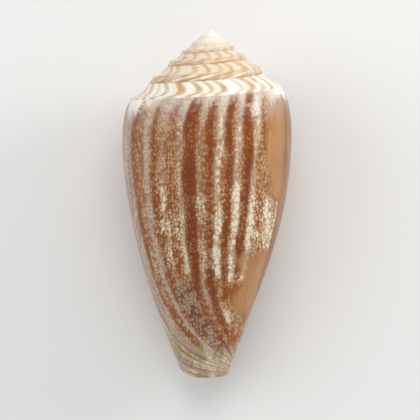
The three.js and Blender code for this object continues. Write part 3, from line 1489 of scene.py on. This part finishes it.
@dataclass(frozen=True)
class ShellFinish:
    """Glossy lime with tented netting, axial streaks, a flammuled ramp and fine growth lines.

    Sizes are in millimetres, and the relief in metres. The numbers inside the methods are shares of a
    mixture.
    """

    paint: Paint = field(default_factory=Paint)
    roughness: float = 0.36
    coat: float = 0.4
    coat_roughness: float = 0.07
    refraction: float = 1.45
    specular: float = 0.15
    relief: float = 0.00004
    large: Tents = Tents(1.12, 1.0, 3.1)
    middle: Tents = Tents(0.74, 0.9, 17.9)
    small: Tents = Tents(0.56, 0.8, 41.3)
    line_grain: Grain = Grain(190.0, 0.10, 2.0)
    ring_grain: Grain = Grain(36.0, 0.12, 3.0)
    ridge_grain: Grain = Grain(300.0, 0.05, 3.0)
    blotch_grain: Grain = Grain(0.55, 0.22, 2.0)
    speck_grain: Grain = Grain(2.6, 2.0, 1.0)
    flame_rate: float = 104.0
    flame_widening: float = 0.3
    flame_sway: Grain = Grain(0.45, 0.0, 2.0)
    flame_width: Grain = Grain(1.1, 0.1, 1.0)

    def build(self) -> bpy.types.Material:
        """Makes the material.

        Returns:
            The material, with uniform values on the shader's own sockets.
        """
        material = bpy.data.materials.new("glossy_tented_shell")
        material.use_nodes = True
        nodes = Nodes(material.node_tree)
        shader = material.node_tree.nodes["Principled BSDF"]
        shader.inputs["Roughness"].default_value = self.roughness
        shader.inputs["Coat Weight"].default_value = self.coat
        shader.inputs["Coat Roughness"].default_value = self.coat_roughness
        shader.inputs["IOR"].default_value = self.refraction
        shader.inputs["Specular IOR Level"].default_value = self.specular
        marks = self.marks(nodes)
        material.node_tree.links.new(self.colour(nodes, marks), shader.inputs["Base Color"])
        ridges = nodes.noise(marks.growth, marks.down, self.ridge_grain)
        ridges = ridges * marks.front.inverse() + marks.rings * marks.front
        nodes.bump(shader, ridges + marks.speck * 0.25, self.relief)
        return material

    def marks(self, nodes: Nodes) -> Marks:
        """Reads the values stored on the piece, and roughens the streaks with specks and blotches.

        Args:
            nodes: The material's nodes.

        Returns:
            The values and the noises.
        """
        travel, down, growth = nodes.attribute("growth")
        dark, pale, lilac = nodes.attribute("streaks")
        white, plain, front = nodes.attribute("zones")
        rim, purple, skin = nodes.attribute("finish")
        lines = nodes.noise(growth, down, self.line_grain)
        rings = nodes.noise(growth, travel, self.ring_grain)
        blotch = nodes.noise(travel, down, self.blotch_grain)
        speck = nodes.noise(travel, down, self.speck_grain)
        edge = down + (blotch - 0.5) * 3.5 + (speck - 0.5) * 1.5
        rough = (speck - 0.5) * 0.9 + (blotch - 0.5) * 0.4
        dark = (dark + rough * dark.smooth(0.02, 0.3)).smooth(0.06, 0.80)
        pale = (pale + (speck - 0.5) * 0.6 * pale.smooth(0.02, 0.3)).smooth(0.1, 0.9)
        return Marks(
            travel=travel, down=down, growth=growth, pale=pale, lilac=lilac, white=white, plain=plain,
            front=front, rim=rim, purple=purple, skin=skin, rings=rings, blotch=blotch, speck=speck,
            edge=edge,
            dark=dark * (edge.smooth(-0.2, 1.6) * 0.75 + 0.25),
            lines=lines * front.inverse() + rings * front,
            patch=(blotch - 0.5) * 1.3,
        )

    def colour(self, nodes: Nodes, marks: Marks) -> Socket:
        """Colour of the whole shell: side, ramp, rims with a painted shadow line in the sutures, apex and
        inside, shaded along the growth lines, with painted shade on the plain zone past growth turn 0.55,
        where the side turns away.

        Args:
            nodes: The material's nodes.
            marks: The values to mix by.

        Returns:
            The colour.
        """
        ramp = marks.skin.math("COMPARE", float(Skin.RAMP.value), 0.1)
        inside = marks.skin.math("COMPARE", float(Skin.INSIDE.value), 0.1)
        flames = self.flames(nodes, marks)
        gold = nodes.blend(self.paint.honey, self.paint.tan, marks.speck * 0.9 - 0.2)
        colour = nodes.blend(self.side(nodes, marks), self.ramp(nodes, marks, flames, gold), ramp)
        band = marks.rim.math("MINIMUM", 1.0)
        colour = nodes.blend(colour, gold, band * (flames * 0.3 + marks.patch * 2.4 + 0.55))
        # Painted shadow: a dark orange line in the suture below each older whorl's rim, where the rim value
        # passes 1.
        colour = nodes.blend(colour, self.paint.orange, (marks.rim - 1.0) * (marks.blotch * 1.4))
        colour = nodes.blend(colour, self.paint.chalk, marks.growth.smooth(3.6, 4.6) * 0.8)
        colour = nodes.blend(colour, self.paint.porcelain, inside)
        shade = (marks.lines - 0.5) * (marks.plain * 0.2 + 0.15) + (marks.speck - 0.5) * 0.25
        # Painted shade: the plain zone past growth turn 0.55, where the side turns away towards its edge, is
        # darkened by up to a fifth; the rest of the shade is the grain of growth lines and specks.
        return nodes.shaded(colour, shade - marks.plain * marks.growth.smooth(0.55, 0.58) * 0.2 + 1.0)

    def side(self, nodes: Nodes, marks: Marks) -> Socket:
        """Colour of the side: pigment, veins, tents, dark streaks, white shoulder and cream front end.

        Args:
            nodes: The material's nodes.
            marks: The values to mix by.

        Returns:
            The colour.
        """
        paint = self.paint
        ground = nodes.blend(paint.ochre, paint.sand, (marks.speck - 0.3) * 1.8)
        side = nodes.blend(self.pigment(nodes, marks), ground, marks.pale * (marks.white * 0.75 + 0.15))
        haze = marks.edge.smooth(1.6, 5.2).inverse() * marks.dark.inverse() * (marks.speck + 0.1)
        vein = (marks.lilac * 1.1 + marks.pale * marks.white.inverse() * 0.7) * (marks.speck * 1.3 + 0.05)
        side = nodes.blend(side, paint.lilac, vein + haze * 0.7)
        side, small = self.netted(nodes, marks, side, ground)
        rust = nodes.blend(paint.brown, paint.orange, (marks.blotch - 0.45) * 1.3 + (marks.speck - 0.5) * 1.6)
        side = nodes.blend(side, rust, marks.dark * (small * -0.20 + 0.97))
        sides = marks.growth.smooth(0.23, 0.27).inverse() + marks.growth.smooth(0.50, 0.56)
        shoulder = marks.edge.smooth(0.4, 2.4).inverse() * marks.dark.inverse() * (sides * 0.65 + 0.35)
        side = nodes.blend(side, paint.chalk, shoulder)
        cream = nodes.blend(paint.cream, paint.white, marks.patch * 3.0 + marks.speck - 0.2)
        cream = nodes.blend(cream, paint.rose, (marks.rings - 0.44) * 4.0)
        return nodes.blend(side, cream, marks.front * 0.92)

    def pigment(self, nodes: Nodes, marks: Marks) -> Socket:
        """Colour between the tents: orange to tan, tan in the young plain zones and umber in the purple one.

        Args:
            nodes: The material's nodes.
            marks: The values to mix by.

        Returns:
            The colour.
        """
        share = marks.patch * 1.1 + marks.lines * marks.plain * 0.6 + marks.speck * 0.3 - 0.2
        colour = nodes.blend(self.paint.orange, self.paint.tan, share)
        young = marks.plain * marks.growth.smooth(0.55, 0.60).inverse()
        colour = nodes.blend(colour, self.paint.tan, young * 0.8)
        return nodes.blend(colour, self.paint.umber, marks.purple * 0.9)

    def netted(self, nodes: Nodes, marks: Marks, side: Socket, ground: Socket) -> tuple[Socket, Value]:
        """Lays three sizes of tents over the side, the larger ones mostly where it is pale or white.

        Args:
            nodes: The material's nodes.
            marks: The values to mix by.
            side: Colour of the side so far.
            ground: Colour of the small tents' edges.

        Returns:
            The colour with its tents, and what the small ones cover.
        """
        thick = marks.pale * (marks.white * 0.45 + 0.50) + marks.white * (marks.patch * 1.2 + 0.14)
        thick = thick - marks.dark * 0.9 - marks.plain * 1.2 + marks.lilac * 0.3 + marks.patch * 0.5 + 0.02
        right = marks.growth.smooth(0.19, 0.29)
        fine = thick * 0.4 + marks.white * 0.1 + marks.patch * 0.6 + right * 0.4 + 0.55
        large = self.tents(nodes, marks, thick, self.large)
        middle = self.tents(nodes, marks, thick + 0.12, self.middle)
        small = self.tents(nodes, marks, fine, self.small)
        ground = nodes.blend(ground, self.paint.lilac, marks.purple * 0.45)
        whiteness = marks.white * 0.6 + marks.lilac * 0.4 + marks.patch * 0.3 + 0.2
        dots = nodes.blend(ground, self.paint.white, small.heart * whiteness)
        side = nodes.blend(side, dots, small.tent * (marks.plain * -0.6 + marks.blotch * 0.6 + 0.30))
        bright = nodes.blend(self.paint.ochre, self.paint.sand, marks.speck * 1.2)
        heart = large.heart.math("MAXIMUM", middle.heart)
        whiteness = marks.white * 0.9 + marks.pale * 0.3 + marks.speck * 0.5
        bright = nodes.blend(bright, self.paint.white, heart * whiteness)
        return nodes.blend(side, bright, large.tent.math("MAXIMUM", middle.tent) * 0.92), small.tent

    def tents(self, nodes: Nodes, marks: Marks, density: Value, grid: Tents) -> Cover:
        """One grid of pale tents: in each cell, a triangle that points to older shell.

        A cell's triangle is the larger, the more its own random number falls short of the density. Cells
        keep thin seams of pigment between them.

        Args:
            nodes: The material's nodes.
            marks: The values to mix by.
            density: How full the grid is.
            grid: Its pitch, spread and offset.

        Returns:
            What the tents cover.
        """
        size = grid.size
        wobble = nodes.noise(marks.travel, marks.down, Grain(0.9 / size, 0.9 / size, 1.0))
        x = (marks.travel + (wobble - 0.5) * (0.7 * size)) / size + grid.offset
        y = marks.down / (size * 1.05) + grid.offset
        place = nodes.vector(x, y)
        cells = nodes.cells(place, "F1")
        along, over, _ = nodes.offset(place, cells.outputs["Position"])
        chance = nodes.parts(cells.outputs["Color"])[0]
        room = (density - chance) * grid.spread + 0.12
        slope = room + 0.1 - along - abs(over) * 0.9
        base = along + room * 0.7 + 0.1
        inset = slope.math("MINIMUM", base)
        seam = Value(nodes.tree, nodes.cells(place, "DISTANCE_TO_EDGE").outputs["Distance"])
        full = room.smooth(0.1, 0.3)
        tent = inset.smooth(-0.06, 0.20) * seam.smooth(0.0, 0.12) * full
        return Cover(tent, inset.smooth(0.0, 0.36) * seam.smooth(0.02, 0.24) * full)

    def ramp(self, nodes: Nodes, marks: Marks, flames: Value, gold: Socket) -> Socket:
        """Colour of the ramp: chalk that turns to butter on older whorls, with golden flames.

        Args:
            nodes: The material's nodes.
            marks: The values to mix by.
            flames: Where the flames are.
            gold: Their colour.

        Returns:
            The colour.
        """
        older = marks.growth.smooth(0.9, 1.2) * 0.6 + marks.patch * 0.6
        ground = nodes.blend(self.paint.chalk, self.paint.butter, older)
        strength = marks.speck * 0.6 + marks.blotch * 1.1 - 0.05
        return nodes.blend(ground, gold, flames * marks.growth.smooth(2.2, 4.0).inverse() * strength)

    def flames(self, nodes: Nodes, marks: Marks) -> Value:
        """Flames of the ramp: uneven bars along the growth lines, as wide on old whorls as on new ones.

        The bars are a sine of the whorl's size, which shrinks exponentially with the turns.

        Args:
            nodes: The material's nodes.
            marks: The values to mix by.

        Returns:
            Where the flames are.
        """
        bars = (marks.growth * -self.flame_widening).math("EXPONENT") * -self.flame_rate
        sway = nodes.noise(bars, marks.travel, self.flame_sway)
        wave = ((bars + sway * 1.6) * TAU).math("SINE")
        width = nodes.noise(bars, marks.travel, self.flame_width)
        return (wave + (width - 0.5) * 3.0).smooth(-0.7, 1.3)


@dataclass(frozen=True)
class FloorFinish:
    """Matt pale paper."""

    colour: Colour = (0.80, 0.79, 0.77)
    roughness: float = 0.9

    def build(self) -> bpy.types.Material:
        """Makes the material.

        Returns:
            The material.
        """
        material = bpy.data.materials.new("pale_paper")
        material.use_nodes = True
        shader = material.node_tree.nodes["Principled BSDF"]
        shader.inputs["Base Color"].default_value = (*self.colour, 1.0)
        shader.inputs["Roughness"].default_value = self.roughness
        return material


# ---- Floor, lights and camera ----


@dataclass(frozen=True)
class Lamp:
    """Square soft light, placed in the shell's own frame: millimetres from its middle."""

    name: str
    place: tuple[float, float, float]
    size: float
    power: float


@dataclass(frozen=True)
class Studio:
    """Pale floor, soft lights, and a camera that looks down on the back of the shell. Lengths in millimetres.

    The camera stands `lean` degrees towards the apex from square to the axis, and turns by `turn` degrees
    about its own line of sight.
    """

    floor_side: float = 3000.0
    lamps: tuple[Lamp, ...] = (
        Lamp("key_light", (275.0, 130.0, 100.0), 104.0, 0.50),
        Lamp("top_light", (30.0, 290.0, 300.0), 320.0, 0.80),
        Lamp("fill_light", (-300.0, 110.0, 190.0), 280.0, 0.38),
        Lamp("front_light", (60.0, -360.0, 140.0), 260.0, 0.16),
    )
    sky: Colour = (0.97, 0.98, 1.0)
    sky_strength: float = 0.46
    aim: tuple[float, float, float] = (-0.54, -28.1, 0.0)
    lean: float = 6.0
    turn: float = 1.16
    field: float = 65.35
    lens: float = 180.0
    sensor: float = 36.0

    def build(self, shell: ConeShell) -> None:
        """Makes the floor, the lights, the sky and the camera around the shell.

        Args:
            shell: The shell, already built.
        """
        self.make_floor()
        for lamp in self.lamps:
            self.make_lamp(lamp, shell)
        self.make_sky()
        self.make_camera(shell)
        bpy.context.scene.view_settings.view_transform = "Standard"

    def make_floor(self) -> None:
        """Square sheet under the shell."""
        half = self.floor_side * MM / 2
        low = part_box(NODE)[0].z
        corners = [(-half, -half, low), (half, -half, low), (half, half, low), (-half, half, low)]
        mesh = bpy.data.meshes.new("floor")
        mesh.from_pydata(corners, [], [(0, 1, 2, 3)])
        floor = bpy.data.objects.new("floor", mesh)
        bpy.context.scene.collection.objects.link(floor)
        mesh.materials.append(FloorFinish().build())

    def make_lamp(self, lamp: Lamp, shell: ConeShell) -> None:
        """Square area light that faces the middle of the shell.

        Args:
            lamp: The light to make.
            shell: The shell that it lights.
        """
        light = bpy.data.lights.new(lamp.name, "AREA")
        light.shape = "SQUARE"
        light.size = lamp.size * MM
        light.energy = lamp.power
        middle = shell.placement @ Vector((0.0, -shell.surface.law.length / 2, 0.0))
        place = middle + shell.lying().to_3x3() @ Vector(lamp.place) * MM
        holder = bpy.data.objects.new(lamp.name, light)
        bpy.context.scene.collection.objects.link(holder)
        holder.location = place
        holder.rotation_euler = (middle - place).to_track_quat("-Z", "Y").to_euler()

    def make_sky(self) -> None:
        """Even pale light from all round."""
        world = bpy.data.worlds.new("soft_sky")
        world.use_nodes = True
        background = world.node_tree.nodes["Background"]
        background.inputs["Color"].default_value = (*self.sky, 1.0)
        background.inputs["Strength"].default_value = self.sky_strength
        bpy.context.scene.world = world

    def make_camera(self, shell: ConeShell) -> None:
        """Long-lens camera over the shell's back, with the apex at the top.

        Args:
            shell: The shell to look at.
        """
        data = bpy.data.cameras.new("camera")
        data.lens = self.lens
        data.sensor_width = self.sensor
        camera = bpy.data.objects.new("camera", data)
        bpy.context.scene.collection.objects.link(camera)
        turned = shell.lying().to_3x3()
        lean, turn = math.radians(self.lean), math.radians(self.turn)
        sight = turned @ Vector((0.0, math.sin(lean), math.cos(lean)))
        right = turned @ Vector((1.0, 0.0, 0.0))
        up = sight.cross(right)
        up, right = up * math.cos(turn) + right * math.sin(turn), right * math.cos(turn) - up * math.sin(turn)
        distance = self.field * MM * self.lens / self.sensor
        axes = Matrix((right, up, sight)).transposed().to_4x4()
        camera.matrix_world = Matrix.Translation(shell.placement @ Vector(self.aim) + sight * distance) @ axes
        bpy.context.scene.camera = camera


def main() -> None:
    """Builds the shell and its studio around the frame, in order."""
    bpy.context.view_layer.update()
    shell = ConeShell()
    piece = shell.build()
    piece.data.materials.append(ShellFinish().build())
    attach(piece, "root")
    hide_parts(NODE)
    LOG.info("shell: %d vertices", len(piece.data.vertices))
    Studio().build(shell)
    LOG.info("studio: floor, lights and camera")


if __name__ == "__main__":
    logging.basicConfig(level=logging.INFO)
    main()
